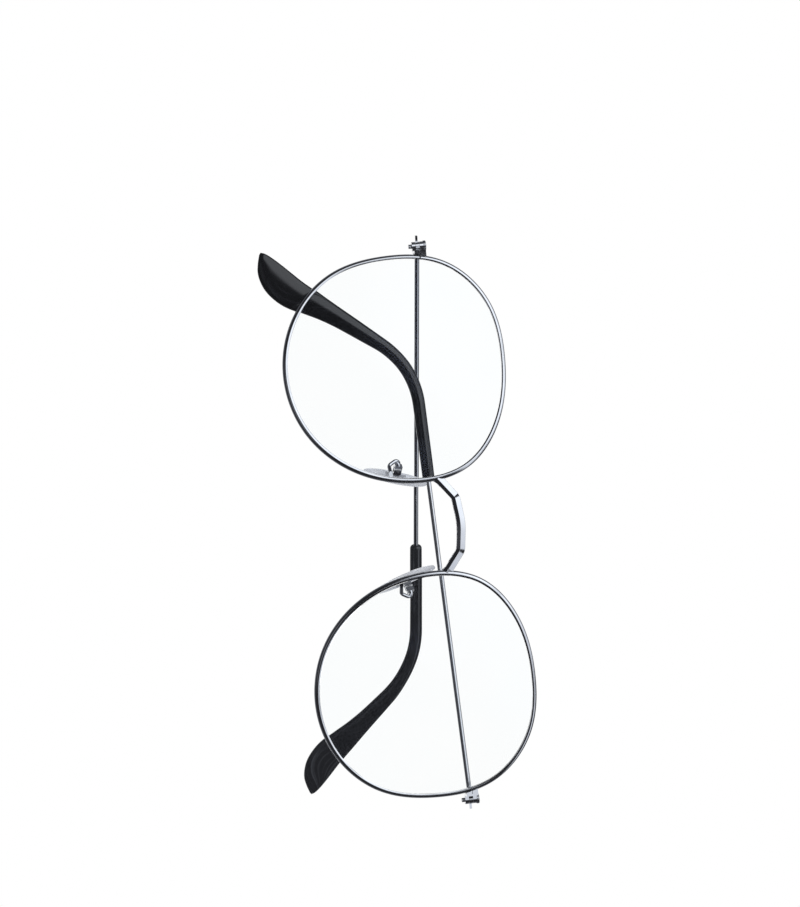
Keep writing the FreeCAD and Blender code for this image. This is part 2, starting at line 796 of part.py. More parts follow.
def pad_arm_wire():
    """The wire from the back of the rim round a hairpin into the base of the pad box."""
    at_pad = pad_placement()
    foot_height = size("arm_foot_height")
    foot = rim_point(foot_height, -1)
    leaving = foot + Vector(size("arm_foot_reach"), size("arm_foot_rise"), 0)
    box_end = at_pad.multVec(OUT * (box_base_depth() + size("box_wall") / 2))
    turn = at_pad.multVec(OUT * (box_base_depth() + size("box_wall") + 2 * size("arm_bend_radius")))
    loop = Vector(foot.x + size("arm_loop_reach"), turn.y + size("arm_loop_setback"), foot.z)
    path = rounded_path((foot, leaving, loop, turn, box_end), (size("arm_bend_radius"),) * 3)
    return round_wire(path, size("arm_wire_radius"))


def make_pads(front, inside):
    core, core_blank = make_pad_core()
    pad = make_pad(core_blank)
    box = pad_box()
    doc.recompute()
    for item in (core, pad, box):
        item.Placement = pad_placement()
    wire = add_feature("pad_arm_wire", pad_arm_wire())
    seated_wire = add_cut("seated_arm_wire", wire, front["left_rim"], inside["left"])
    arm = add_fuse("left_pad_arm", seated_wire, box)
    nodes = {
        "left_nose_pad": pad,
        "right_nose_pad": add_mirrored("right_nose_pad", pad),
        "left_pad_core": core,
        "right_pad_core": add_mirrored("right_pad_core", core),
        "left_pad_arm": arm,
        "right_pad_arm": add_mirrored("right_pad_arm", arm),
    }
    half_width = size("stem_width") / 2 + size("stem_clearance") + size("box_wall")
    for side_name, side in SIDES:
        seat = pad_placement().multVec(Vector(size("pad_axis_depth"), half_width, 0))
        outward = pad_placement().Rotation.multVec(BACK)
        facing = Rotation(UP, Vector(side * outward.x, outward.y, outward.z))
        name = side_name + "_pad_screw"
        length = "Sizes.stem_width + 2 * Sizes.stem_clearance + 2 * Sizes.box_wall"
        at_box = Placement(Vector(side * seat.x, seat.y, seat.z), facing)
        nodes[name] = make_screw(name, "pad_screw", length, at_box)
    return nodes


# Assembly, checks and files

def make_insides():
    left = add_feature("left_inside", inside_shape(), lens_placement())
    return {"left": left, "right": add_mirrored("right_inside", left)}


def check(nodes):
    doc.recompute()
    for item in doc.Objects:
        if "Invalid" in item.State or "Error" in item.State:
            raise RuntimeError("%s failed: %s" % (item.Label, item.State))
    for label, item in nodes.items():
        shape = item.Shape
        if shape.isNull() or not shape.isValid() or len(shape.Solids) != 1:
            raise RuntimeError("%s is not one valid solid" % label)


def main():
    fill_sheet()
    nodes = make_lenses_and_rims()
    inside = make_insides()
    nodes.update(make_bridge(nodes, inside))
    nodes.update(make_hinges(nodes, inside))
    nodes.update(make_pads(nodes, inside))
    nodes.update(make_temples())
    for label, item in nodes.items():
        item.Label = label
    check(nodes)
    os.makedirs("parts", exist_ok=True)
    for label, item in nodes.items():
        item.Shape.exportStep("parts/%s.step" % label)


main()
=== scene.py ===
import json
import math

import bmesh
import bpy
import numpy as np
from mathutils import Matrix, Vector


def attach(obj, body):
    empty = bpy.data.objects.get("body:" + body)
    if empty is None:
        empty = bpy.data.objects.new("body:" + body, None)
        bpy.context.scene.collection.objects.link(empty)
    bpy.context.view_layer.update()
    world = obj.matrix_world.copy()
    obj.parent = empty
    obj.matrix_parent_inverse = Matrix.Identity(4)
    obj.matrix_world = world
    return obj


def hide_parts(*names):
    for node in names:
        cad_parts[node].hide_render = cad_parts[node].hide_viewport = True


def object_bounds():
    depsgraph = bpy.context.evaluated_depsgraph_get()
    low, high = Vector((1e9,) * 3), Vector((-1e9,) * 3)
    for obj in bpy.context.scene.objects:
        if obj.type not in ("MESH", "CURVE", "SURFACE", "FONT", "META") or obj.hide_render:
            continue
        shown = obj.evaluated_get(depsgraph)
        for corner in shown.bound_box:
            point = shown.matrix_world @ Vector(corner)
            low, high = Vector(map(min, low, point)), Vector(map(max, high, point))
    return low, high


# Round eyeglasses in metres, +Z up, the front toward -Y and the wearer's left toward +X.
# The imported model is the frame. The pieces below stand on it or stand for its nodes.

BACK = Vector((0, 1, 0))
SIDES = (("left", 1), ("right", -1))
WHITE = (1, 1, 1, 1)
SHARP_ANGLE = math.radians(35)
FACET_ANGLE = math.radians(5)

# Camera: it looks at the front, with the glasses lying on their side
CAMERA_TARGET = Vector((-0.01772, -0.00198, 0.00144))
CAMERA_DISTANCE = 0.7
CAMERA_TILT = math.radians(-9.07)
CAMERA_YAW = math.radians(1.35)
CAMERA_ROLL = math.radians(5.74)
CAMERA_LENS_MM = 117.7
CAMERA_SENSOR_MM = 36.0

# Studio: a pale floor, two soft lamps, and a white room whose dark parts only mirrored light sees
FLOOR_SIZE = 4.0
FLOOR_GAP = 0.0003
FLOOR_COLOUR = (0.9, 0.9, 0.9, 1)
FLOOR_ROUGHNESS = (0.6, 0.8)
FLOOR_GRAIN = 30
WORLD_FILL = 0.6
LAMPS = (
    # place, width, power in watts
    (Vector((-0.5, -0.75, 0.6)), 0.9, 3.2),
    (Vector((0.55, 0.5, 0.8)), 0.75, 2.0),
)

# What mirrored light sees: a pale room with bright and dark patches round some directions
ROOM_COLOUR = (0.72, 0.75, 0.82, 1)
BRIGHT = (1.15, 1.2, 1.28, 1)
DARK = (0.02, 0.02, 0.023, 1)
DIM = (0.12, 0.125, 0.14, 1)
PATCHES = (
    # toward, the cosines of the angles where the patch begins and is full, colour
    (Vector((-0.45, -0.7, 0.55)), 0.8, 0.9, BRIGHT),
    (Vector((0.45, 0.0, -0.89)), -0.26, -0.12, DARK),
    (Vector((-0.6, 0.0, -0.8)), 0.12, 0.38, DARK),
    (Vector((-0.8, 0.6, 0.0)), 0.3, 0.6, DARK),
    (Vector((0.0, 1.0, 0.0)), -0.25, 0.3, DIM),
    (Vector((0.0, 1.0, 0.0)), 0.85, 0.95, WHITE),
    (Vector((-0.045, -0.985, 0.16)), 0.9954, 0.9976, DARK),
    (Vector((0.14, -0.977, 0.16)), 0.9954, 0.9976, ROOM_COLOUR),
    (Vector((-0.22, -0.67, 0.71)), 0.9966, 0.9986, DARK),
    (Vector((0.30, -0.64, 0.70)), 0.9935, 0.9968, DARK),
    (Vector((0.5, 0.0, 0.87)), 0.91, 0.95, DARK),
    (Vector((-0.05, -0.86, -0.5)), 0.94, 0.975, DIM),
)

# Finishes: colours where a surface is dull or clean, patterns by their features per metre, and the
# depth of its relief
CHROME_DULL = (0.74, 0.755, 0.78, 1)
CHROME_CLEAN = (0.86, 0.87, 0.885, 1)
CHROME_CLOUDS = 220
CHROME_MARKS = 900
CHROME_ROUGHNESS = (0.05, 0.13)
CHROME_GRAIN = 1500
CHROME_RELIEF = 0.0000003
STEEL_DULL = (0.50, 0.51, 0.53, 1)
STEEL_CLEAN = (0.66, 0.67, 0.69, 1)
STEEL_CLOUDS = 1400
STEEL_MARKS = 3000
STEEL_ROUGHNESS = (0.18, 0.36)
STEEL_GROOVES = 5200
STEEL_GROOVE_STRETCH = (1, 1, 0.3)
STEEL_RELIEF = 0.000004
LENS_DULL = (0.972, 0.992, 1.0, 1)
LENS_CLEAN = (0.985, 0.996, 1.0, 1)
LENS_COATING = (0.12, 0.14, 0.2, 1)
LENS_IOR = 1.5
LENS_CLOUDS = 60
LENS_WIPES = 500
LENS_WIPE_STRETCH = (1, 1, 0.2)
LENS_ROUGHNESS = (0.0, 0.012)
PAD_DULL = (0.90, 0.925, 0.99, 1)
PAD_CLEAN = (0.95, 0.965, 1.0, 1)
# Painted shade: the darker bluish colour the pads take toward their edges, where they turn from the eye
PAD_EDGE_PAINTED_SHADE = (0.82, 0.86, 0.97, 1)
PAD_IOR = 1.43
PAD_CLEARNESS = 0.45
PAD_CLOUDS = 420
PAD_MARKS = 1500
PAD_ROUGHNESS = (0.03, 0.09)
PAD_GRAIN = 1800
PAD_RELIEF = 0.0000003
TIP_COLOURS = {
    # clean plastic, scuffs; the right tip is greyer than the left
    "left": ((0.012, 0.0125, 0.0145, 1), (0.030, 0.032, 0.038, 1)),
    "right": ((0.022, 0.023, 0.027, 1), (0.052, 0.055, 0.064, 1)),
}
TIP_SPECK = (0.08, 0.085, 0.10, 1)
TIP_IOR = 1.6
TIP_SPECKS = 3600
TIP_SCUFF_PATCHES = 55
TIP_ROUGHNESS = (0.06, 0.12)
TIP_RELIEF = 0.00000008

# Scuffs and hairlines run along a tip: features per metre along it and round it
TIP_SCUFF_STRETCH = (35, 1300, 1)
TIP_HAIRLINE_STRETCH = (260, 9000, 1)

# Lens outline: radii as shares of the mean radius, every 30 degrees from the outer side over
# the top, to the nose and back under the lens
OUTLINE_RADIUS_SHARES = (
    0.985, 1.036, 1.009, 0.949, 0.986, 1.050,
    1.005, 0.986, 0.992, 0.997, 1.004, 1.003,
)
LENS_RADIUS = 0.02675
LENS_CENTRE = Vector((0.0378, -0.0026, 0.0027))
WRAP = math.radians(7)
OUTLINE_STEPS = 40

# Rim: round wire, cut flat inside, with a groove that holds the lens
RIM_WIDTH = 0.00115
RIM_DEPTH = 0.0015
RIM_SLIT = 0.00012
GROOVE_DEPTH = 0.00046
GROOVE_WIDTH = 0.001
RIM_EDGE_STEPS = 28

# Lens: a curved disc whose bevelled edge sits in the groove
LENS_THICKNESS = 0.0018
LENS_CURVE_RADIUS = 0.12
LENS_CLEARANCE = 0.00003
BEVEL_HEIGHT = 0.0004
BEVEL_WIDTH = 0.00085
LENS_RINGS = 14

# Bridge: a bar that arches from rim to rim, with a ridge along its front
BRIDGE_ROOT = Vector((0.0112, -0.00587, 0.0092))
BRIDGE_BEND = Vector((0.0063, -0.00587, 0.0130))
BRIDGE_CROWN_HEIGHT = 0.0138
BRIDGE_BEND_RADIUS = 0.0022
BRIDGE_CROWN_RADIUS = 0.016
BRIDGE_HEIGHT = 0.00205
BRIDGE_DEPTH = 0.0014
BRIDGE_RIDGE_HEIGHT = 0.0008
BRIDGE_FACE_FALL = 0.00045
BRIDGE_EDGE_RADIUS = 0.00012
BRIDGE_RIDGE_RADIUS = 0.00008
BRIDGE_FLARE_LENGTH = 0.0012
BRIDGE_FLARE_SHARE = 0.22
BRIDGE_EDGE_STEPS = 4
BRIDGE_BEND_STEPS = 14
BRIDGE_FOOT_STEPS = 6

# Temples: each is built along its folded arm, then turned about its hinge by the fold. Lengths are in
# metres and angles in degrees
TEMPLE_OFFSET = 0.0008
TEMPLES = {
    "left": {
        "bend_distance": 0.1048, "radius": 0.020, "pitch": 1.75, "bend": 51.95, "fold": 1.0,
        "tip_start": 0.0766, "tip_drop": 0.04495,
    },
    "right": {
        "bend_distance": 0.1073, "radius": 0.025, "pitch": 2.85, "bend": 45.05, "fold": 16.0,
        "tip_start": 0.0751, "tip_drop": 0.04125,
    },
}

# Temple tips: a slim sleeve with a rounded mouth that widens into a paddle
PADDLE_HEIGHT = 0.0077
NECK_THICKNESS = 0.0028
TIP_WIRE_RADIUS = 0.000575
TIP_MOUTH_GAP = 0.00006
TIP_MOUTH_DEPTH = 0.0006
TIP_MOUTH_LENGTH = 0.0009
TIP_MOUTH_STEPS = 10
TIP_RINGS = 150
TIP_RING_POWER = 1.2
TIP_POINTS = 40

# The section of a tip is an ellipse up to the place where its paddle begins, and then grows squarer
ELLIPSE_POWER = 2
PADDLE_EXTRA_POWER = 0.5
PADDLE_START_SHARE = 0.4
PADDLE_GROWTH_SHARE = 0.4

# Stations of a tip: place along it, distances of its inner and outer edges from the wire as
# shares of half the paddle height, and thickness as a share of the neck's
TIP_STATION_SHARES = (
    (0.000, 0.350, 0.350, 0.94),
    (0.015, 0.377, 0.377, 1.00),
    (0.150, 0.377, 0.385, 1.00),
    (0.290, 0.390, 0.390, 1.00),
    (0.390, 0.403, 0.403, 1.00),
    (0.446, 0.434, 0.395, 0.99),
    (0.501, 0.455, 0.410, 0.98),
    (0.557, 0.494, 0.480, 0.96),
    (0.613, 0.532, 0.550, 0.94),
    (0.668, 0.584, 0.610, 0.92),
    (0.724, 0.706, 0.680, 0.90),
    (0.779, 0.900, 0.763, 0.88),
    (0.835, 1.085, 0.835, 0.86),
    (0.876, 1.070, 0.935, 0.85),
    (0.918, 0.888, 1.039, 0.82),
    (0.950, 0.560, 1.100, 0.78),
    (0.975, 0.120, 1.120, 0.66),
    (0.990, -0.380, 1.090, 0.50),
    (1.000, -0.850, 1.020, 0.14),
)

# Nose pads: soft ovals that are domed toward the nose
PAD_CENTRE = 0.01215
PAD_LENGTH = 0.0156
PAD_WIDTH = 0.0072
PAD_BULGE = 0.0011
PAD_BACK_DEPTH = 0.0007
PAD_SPLAY = math.radians(17)
PAD_FLARE = math.radians(18)
PAD_RINGS = 20
PAD_POINTS = 72
PAD_DOME_POWER = 0.8
PAD_SIDE_POWER = 0.6
PAD_BACK_POWER = 0.4


# Helpers that make meshes

def add_piece(name, mesh, material, body, *nodes):
    """A smooth piece of the object that stands for CAD nodes and rides on a body."""
    mesh.shade_smooth()
    piece = bpy.data.objects.new(name, mesh)
    piece.data.materials.append(material)
    bpy.context.scene.collection.objects.link(piece)
    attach(piece, body)
    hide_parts(*nodes)
    return piece


def skin(name, rings):
    """A closed skin over rings of points, with each end drawn together at its middle.

    The texture coordinates run along the piece and round it, both in metres.
    """
    form = bmesh.new()
    layer = form.loops.layers.uv.new("along")
    rows = [[form.verts.new(point) for point in ring] for ring in rings]
    count = len(rings[0])
    middles = [sum(ring, Vector()) / count for ring in rings]
    along = [0.0]
    for before, after in zip(middles, middles[1:]):
        along.append(along[-1] + (after - before).length)
    around = []
    for ring in rings:
        around.append(sum((ring[i] - ring[i - 1]).length for i in range(count)) / count)
    for row in range(len(rows) - 1):
        for i in range(count):
            j = (i + 1) % count
            face = form.faces.new((rows[row][i], rows[row][j], rows[row + 1][j], rows[row + 1][i]))
            places = ((row, i), (row, i + 1), (row + 1, i + 1), (row + 1, i))
            for loop, (at_row, step) in zip(face.loops, places):
                loop[layer].uv = (along[at_row], around[at_row] * step)
    for row in (0, len(rows) - 1):
        pole = form.verts.new(middles[row])
        for i in range(count):
            form.faces.new((rows[row][i], rows[row][(i + 1) % count], pole))
    bmesh.ops.recalc_face_normals(form, faces=form.faces)
    mesh = bpy.data.meshes.new(name)
    form.to_mesh(mesh)
    form.free()
    return mesh


def rounded(corners, radii, steps):
    """Points along a run of corners: an arc at each but the first and the last, which are left out."""
    points = []
    for before, corner, after, radius in zip(corners, corners[1:], corners[2:], radii):
        to_before = (before - corner).normalized()
        to_after = (after - corner).normalized()
        half_turn = (math.pi - to_before.angle(to_after)) / 2
        inward = (to_before + to_after).normalized()
        centre = corner + inward * (radius / math.cos(half_turn))
        first = (corner + to_before * (radius * math.tan(half_turn)) - centre).normalized()
        last = (corner + to_after * (radius * math.tan(half_turn)) - centre).normalized()
        points += [centre + first.slerp(last, step / steps) * radius for step in range(steps + 1)]
    return points


def heading(path, i):
    """The direction in which an open path runs at one of its points."""
    return path[min(i + 1, len(path) - 1)] - path[max(i - 1, 0)]


def curve_weights(t):
    """The weights of a smooth span's ends and slopes: first end, its slope, second end, its slope."""
    return (
        2 * t ** 3 - 3 * t ** 2 + 1,
        t ** 3 - 2 * t ** 2 + t,
        3 * t ** 2 - 2 * t ** 3,
        t ** 3 - t ** 2,
    )


def let_light_through(piece):
    """Keeps a clear piece from shading what lies behind it and from showing in mirrored light."""
    piece.visible_shadow = False
    piece.visible_diffuse = False
    piece.visible_glossy = False


# Helpers that make materials

def add_spread(tree, pattern, low, high, from_low, from_high):
    """A pattern spread between two numbers."""
    spread = tree.nodes.new("ShaderNodeMapRange")
    spread.inputs["From Min"].default_value = from_low
    spread.inputs["From Max"].default_value = from_high
    spread.inputs["To Min"].default_value = low
    spread.inputs["To Max"].default_value = high
    tree.links.new(pattern, spread.inputs["Value"])
    return spread.outputs["Result"]


def add_math(tree, operation, first, second):
    """Two patterns joined into one."""
    node = tree.nodes.new("ShaderNodeMath")
    node.operation = operation
    tree.links.new(first, node.inputs[0])
    tree.links.new(second, node.inputs[1])
    return node.outputs["Value"]


def add_tint(tree, pattern, first, second):
    """A colour between two, by the pattern; each of them is a colour or a pattern of colours."""
    mix = tree.nodes.new("ShaderNodeMix")
    mix.data_type = "RGBA"
    for socket, colour in (("A", first), ("B", second)):
        if isinstance(colour, tuple):
            mix.inputs[socket].default_value = colour
        else:
            tree.links.new(colour, mix.inputs[socket])
    tree.links.new(pattern, mix.inputs["Factor"])
    return mix.outputs["Result"]


class Finish:
    """A material whose Principled shader is fed by patterns, in the object's own space unless told."""

    def __init__(self, name, **values):
        self.material = bpy.data.materials.new(name)
        self.material.use_nodes = True
        self.tree = self.material.node_tree
        self.shader = self.tree.nodes["Principled BSDF"]
        self.place = self.tree.nodes.new("ShaderNodeTexCoord")
        for socket, value in values.items():
            self.shader.inputs[socket.replace("_", " ")].default_value = value

    def noise(self, scale, detail=3.0, stretch=(1, 1, 1), space="Object"):
        """Soft noise; the scale counts its features per metre, and the stretch packs them per axis."""
        mapping = self.tree.nodes.new("ShaderNodeMapping")
        mapping.inputs["Scale"].default_value = stretch
        self.tree.links.new(self.place.outputs[space], mapping.inputs["Vector"])
        noise = self.tree.nodes.new("ShaderNodeTexNoise")
        noise.inputs["Scale"].default_value = scale
        noise.inputs["Detail"].default_value = detail
        self.tree.links.new(mapping.outputs["Vector"], noise.inputs["Vector"])
        return noise.outputs["Fac"]

    def slant(self, blend):
        """A pattern that grows from 0 where the surface faces the eye to 1 where it turns away."""
        weight = self.tree.nodes.new("ShaderNodeLayerWeight")
        weight.inputs["Blend"].default_value = blend
        return weight.outputs["Facing"]

    def between(self, pattern, low, high, from_low=0.3, from_high=0.7):
        """A pattern spread between two numbers; most of a soft noise lies between 0.3 and 0.7."""
        return add_spread(self.tree, pattern, low, high, from_low, from_high)

    def tint(self, pattern, first, second):
        """A colour between two, by the pattern."""
        return add_tint(self.tree, pattern, first, second)

    def feed(self, socket, output):
        """Leads a pattern into one of the shader's own sockets."""
        self.tree.links.new(output, self.shader.inputs[socket])

    def relief(self, pattern, depth):
        """Fine relief, its depth in metres."""
        bump = self.tree.nodes.new("ShaderNodeBump")
        bump.inputs["Strength"].default_value = 1.0
        bump.inputs["Distance"].default_value = depth
        self.tree.links.new(pattern, bump.inputs["Height"])
        self.feed("Normal", bump.outputs["Normal"])


# Materials

def make_chrome():
    """Bright plating with faint polish marks and a little wear in its sheen."""
    finish = Finish("bright_plating", Metallic=1.0)
    cloud = finish.between(finish.noise(CHROME_CLOUDS), 0, 1)
    finish.feed("Base Color", finish.tint(cloud, CHROME_DULL, CHROME_CLEAN))
    finish.feed("Roughness", finish.between(finish.noise(CHROME_MARKS, detail=5), *CHROME_ROUGHNESS))
    finish.relief(finish.noise(CHROME_GRAIN, detail=4), CHROME_RELIEF)
    return finish.material


def make_steel():
    """Turned steel for the small screws and the cores of the pads."""
    finish = Finish("turned_steel", Metallic=1.0)
    cloud = finish.between(finish.noise(STEEL_CLOUDS), 0, 1)
    finish.feed("Base Color", finish.tint(cloud, STEEL_DULL, STEEL_CLEAN))
    finish.feed("Roughness", finish.between(finish.noise(STEEL_MARKS, detail=5), *STEEL_ROUGHNESS))
    finish.relief(finish.noise(STEEL_GROOVES, stretch=STEEL_GROOVE_STRETCH), STEEL_RELIEF)
    return finish.material


def make_lens_finish():
    """Clear lens with barely visible wipe marks, whose coating dims its gloss where it faces the eye."""
    finish = Finish("clear_lens", IOR=LENS_IOR, Transmission_Weight=1.0)
    slant = finish.between(finish.slant(blend=0.5), 0, 1, from_low=0.45, from_high=0.85)
    finish.feed("Specular Tint", finish.tint(slant, LENS_COATING, WHITE))
    cloud = finish.between(finish.noise(LENS_CLOUDS), 0, 1)
    finish.feed("Base Color", finish.tint(cloud, LENS_DULL, LENS_CLEAN))
    wipes = finish.noise(LENS_WIPES, stretch=LENS_WIPE_STRETCH)
    finish.feed("Roughness", finish.between(wipes, *LENS_ROUGHNESS))
    return finish.material


def make_pad_finish():
    """Soft clear plastic with a cool, milky body, with painted shade: deeper in colour where it turns
    away from the eye.
    """
    finish = Finish("soft_clear_plastic", IOR=PAD_IOR, Transmission_Weight=PAD_CLEARNESS)
    cloud = finish.between(finish.noise(PAD_CLOUDS), 0, 1)
    body = finish.tint(cloud, PAD_DULL, PAD_CLEAN)
    # Painted shade: the colour grows darker and bluer toward the pad's edges as the surface turns from
    # the eye
    finish.feed("Base Color", finish.tint(finish.slant(blend=0.3), body, PAD_EDGE_PAINTED_SHADE))
    finish.feed("Roughness", finish.between(finish.noise(PAD_MARKS, detail=5), *PAD_ROUGHNESS))
    finish.relief(finish.noise(PAD_GRAIN), PAD_RELIEF)
    return finish.material


def make_tip_finish(side_name):
    """Black plastic with a hand-polished sheen, patches of scuffs, hairlines and small bright specks."""
    clean, scuffed = TIP_COLOURS[side_name]
    finish = Finish(side_name + "_tip_plastic", IOR=TIP_IOR)
    hairlines = finish.noise(1.0, detail=6, stretch=TIP_HAIRLINE_STRETCH, space="UV")
    specks = finish.between(finish.noise(TIP_SPECKS, detail=2), 0, 1, from_low=0.74, from_high=0.80)
    lines = finish.noise(1.0, stretch=TIP_SCUFF_STRETCH, space="UV")
    lines = finish.between(lines, 0, 1, from_low=0.56, from_high=0.68)
    patches = finish.noise(TIP_SCUFF_PATCHES, detail=1)
    patches = finish.between(patches, 0, 1, from_low=0.42, from_high=0.6)
    plastic = finish.tint(add_math(finish.tree, "MULTIPLY", lines, patches), clean, scuffed)
    finish.feed("Base Color", finish.tint(specks, plastic, TIP_SPECK))
    finish.feed("Roughness", finish.between(hairlines, *TIP_ROUGHNESS))
    finish.relief(hairlines, TIP_RELIEF)
    return finish.material


def dress_nodes(chrome, steel, lens, pad, tips):
    """Gives each CAD node the material of its kind."""
    finishes = {"_lens": lens, "_screw": steel, "_pad_core": steel, "_nose_pad": pad}
    for side_name, tip in tips.items():
        finishes[side_name + "_temple_tip"] = tip
    for name, node in frame["nodes"].items():
        chosen = chrome
        for ending, finish in finishes.items():
            if name.endswith(ending):
                chosen = finish
        node.data.materials.clear()
        node.data.materials.append(chosen)
        if chosen in (lens, pad):
            let_light_through(node)


# Rims and lenses

def lens_outline():
    """Points along the closed line of the rim wire, on a smooth curve through the shares."""
    count = len(OUTLINE_RADIUS_SHARES)
    posts = []
    for step, share in enumerate(OUTLINE_RADIUS_SHARES):
        angle = 2 * math.pi * step / count
        posts.append(Vector((math.cos(angle), 0, math.sin(angle))) * (LENS_RADIUS * share))
    spans = [(posts[(i + 1) % count] - posts[i]).length for i in range(count)]

    # The slopes that make the curve's bend run on smoothly through every post
    system = np.zeros((count, count))
    known = np.zeros((count, 3))
    for i in range(count):
        before, after = spans[i - 1], spans[i]
        following = (i + 1) % count
        system[i, i - 1] += after
        system[i, i] += 2 * (before + after)
        system[i, following] += before
        rise_before = (posts[i] - posts[i - 1]) * (after / before)
        rise_after = (posts[following] - posts[i]) * (before / after)
        known[i] = 3 * (rise_before + rise_after)
    slopes = [Vector(row) for row in np.linalg.solve(system, known)]

    points = []
    for i in range(count):
        following = (i + 1) % count
        for step in range(OUTLINE_STEPS):
            start, leaving, end, arriving = curve_weights(step / OUTLINE_STEPS)
            points.append(
                posts[i] * start
                + slopes[i] * (leaving * spans[i])
                + posts[following] * end
                + slopes[following] * (arriving * spans[i])
            )
    return points


def rim_profile():
    """The wire's section as distances outward and back."""
    half_width = RIM_WIDTH / 2
    half_flat = math.sqrt(RIM_WIDTH * (RIM_DEPTH - RIM_WIDTH))
    radius = RIM_DEPTH / 2
    centre = half_width - radius
    sweep = math.pi - math.atan2(half_flat, RIM_WIDTH - radius)
    section = []
    for step in range(RIM_EDGE_STEPS + 1):
        angle = sweep * (2 * step / RIM_EDGE_STEPS - 1)
        section.append((centre + radius * math.cos(angle), radius * math.sin(angle)))
    section += [
        (-half_width, GROOVE_WIDTH / 2),
        (GROOVE_DEPTH - half_width, 0),
        (-half_width, -GROOVE_WIDTH / 2),
    ]
    return section


def lens_place(point, side):
    """A point of the lens's own plane on its place in the front."""
    at = LENS_CENTRE + Matrix.Rotation(WRAP, 3, "Z") @ point
    return Vector((side * at.x, at.y, at.z))


def make_lens(side_name, side, finish):
    """A clear disc, rounded like a ball's shell, with a bevel round its edge."""
    outline = lens_outline()
    count = len(outline)

    def ring_at(out, back):
        ring = []
        for i in range(count):
            outward = BACK.cross(outline[(i + 1) % count] - outline[i - 1]).normalized()
            ring.append(outline[i] + outward * out + BACK * back)
        return ring

    def on_shell(point, radius):
        centre_depth = math.sqrt(LENS_CURVE_RADIUS ** 2 - LENS_RADIUS ** 2) - LENS_THICKNESS / 2
        flat = Vector((point.x, 0, point.z))
        return flat + BACK * (centre_depth - math.sqrt(radius ** 2 - flat.length_squared))

    edge_out = -RIM_WIDTH / 2 - LENS_CLEARANCE
    edge = ring_at(edge_out, 0)
    shares = [step / LENS_RINGS for step in range(1, LENS_RINGS + 1)]
    front = [[on_shell(point * share, LENS_CURVE_RADIUS) for point in edge] for share in shares]
    bevel = [
        ring_at(edge_out, -BEVEL_WIDTH / 2),
        ring_at(edge_out + BEVEL_HEIGHT, 0),
        ring_at(edge_out, BEVEL_WIDTH / 2),
    ]
    inner_radius = LENS_CURVE_RADIUS - LENS_THICKNESS
    back = [[on_shell(point * share, inner_radius) for point in edge] for share in reversed(shares)]
    rings = [[lens_place(at, side) for at in ring] for ring in front + bevel + back]
    name = side_name + "_clear_lens"
    piece = add_piece(name, skin(name, rings), finish, "front", side_name + "_lens")
    piece.data.set_sharp_from_angle(angle=SHARP_ANGLE)
    let_light_through(piece)


def make_rim(side_name, side, chrome):
    """The rim on the CAD rim's place, open at the slit that its two blocks draw together."""
    outline = lens_outline()
    count = len(outline)
    slit_height = hinge_place(side_name).z - LENS_CENTRE.z
    above = [i for i in range(count) if outline[i].x > 0 and outline[i].z > slit_height + RIM_SLIT / 2]
    start = min(above, key=lambda i: outline[i].z)
    walk = [outline[(start + i) % count] for i in range(count)]
    walk = [point for point in walk if point.x < 0 or abs(point.z - slit_height) > RIM_SLIT / 2]
    section = rim_profile()
    rings = []
    for i, point in enumerate(walk):
        outward = BACK.cross(heading(walk, i)).normalized()
        ring = [point + outward * out + BACK * back for out, back in section]
        rings.append([lens_place(at, side) for at in ring])
    name = side_name + "_rim_wire"
    piece = add_piece(name, skin(name, rings), chrome, "front", side_name + "_rim")
    piece.data.set_sharp_from_angle(angle=SHARP_ANGLE)


# Bridge

def bridge_profile():
    """The bar's section as distances up and back, its edges lightly rounded."""
    half_height = BRIDGE_HEIGHT / 2
    half_depth = BRIDGE_DEPTH / 2
    face = half_depth - BRIDGE_FACE_FALL
    corners = [Vector((up, back, 0)) for up, back in (
        (half_height, half_depth),
        (-half_height, half_depth),
        (-half_height, -face),
        (BRIDGE_RIDGE_HEIGHT - half_height, -half_depth),
        (half_height, -face),
    )]
    edge = BRIDGE_EDGE_RADIUS
    radii = (edge, edge, edge, BRIDGE_RIDGE_RADIUS, edge)
    return rounded(corners[-1:] + corners + corners[:1], radii, BRIDGE_EDGE_STEPS)


def make_bridge(chrome):
    """The bar along an arch with a sharp bend near each foot, a little thicker where it meets a rim."""
    crown = Vector((0, BRIDGE_BEND.y, BRIDGE_CROWN_HEIGHT))
    mirror = Matrix.Scale(-1, 3, Vector((1, 0, 0)))
    corners = [BRIDGE_ROOT, BRIDGE_BEND, crown, mirror @ BRIDGE_BEND, mirror @ BRIDGE_ROOT]
    radii = (BRIDGE_BEND_RADIUS, BRIDGE_CROWN_RADIUS, BRIDGE_BEND_RADIUS)
    inner = rounded(corners, radii, BRIDGE_BEND_STEPS)
    steps = BRIDGE_FOOT_STEPS
    start = [corners[0].lerp(inner[0], step / steps) for step in range(steps)]
    end = [inner[-1].lerp(corners[-1], step / steps) for step in range(1, steps + 1)]
    path = start + inner + end
    profile = bridge_profile()
    rings = []
    for i, point in enumerate(path):
        upward = heading(path, i).normalized().cross(BACK)
        if upward.z < 0:
            upward = -upward
        to_end = min((point - path[0]).length, (point - path[-1]).length)
        near_end = max(0, 1 - to_end / BRIDGE_FLARE_LENGTH)
        flare = 1 + BRIDGE_FLARE_SHARE * near_end ** 2
        rings.append([point + (upward * at.x + BACK * at.y) * flare for at in profile])
    piece = add_piece("bridge_bar", skin("bridge_bar", rings), chrome, "front", "bridge")
    piece.data.set_sharp_from_angle(angle=FACET_ANGLE)


# Temples and their tips

def hinge_place(side_name):
    """Where a temple's hinge is in the frame."""
    for joint in frame["joints"]:
        if joint["name"] == side_name + "_temple_hinge":
            return Vector(joint["pos_m"])


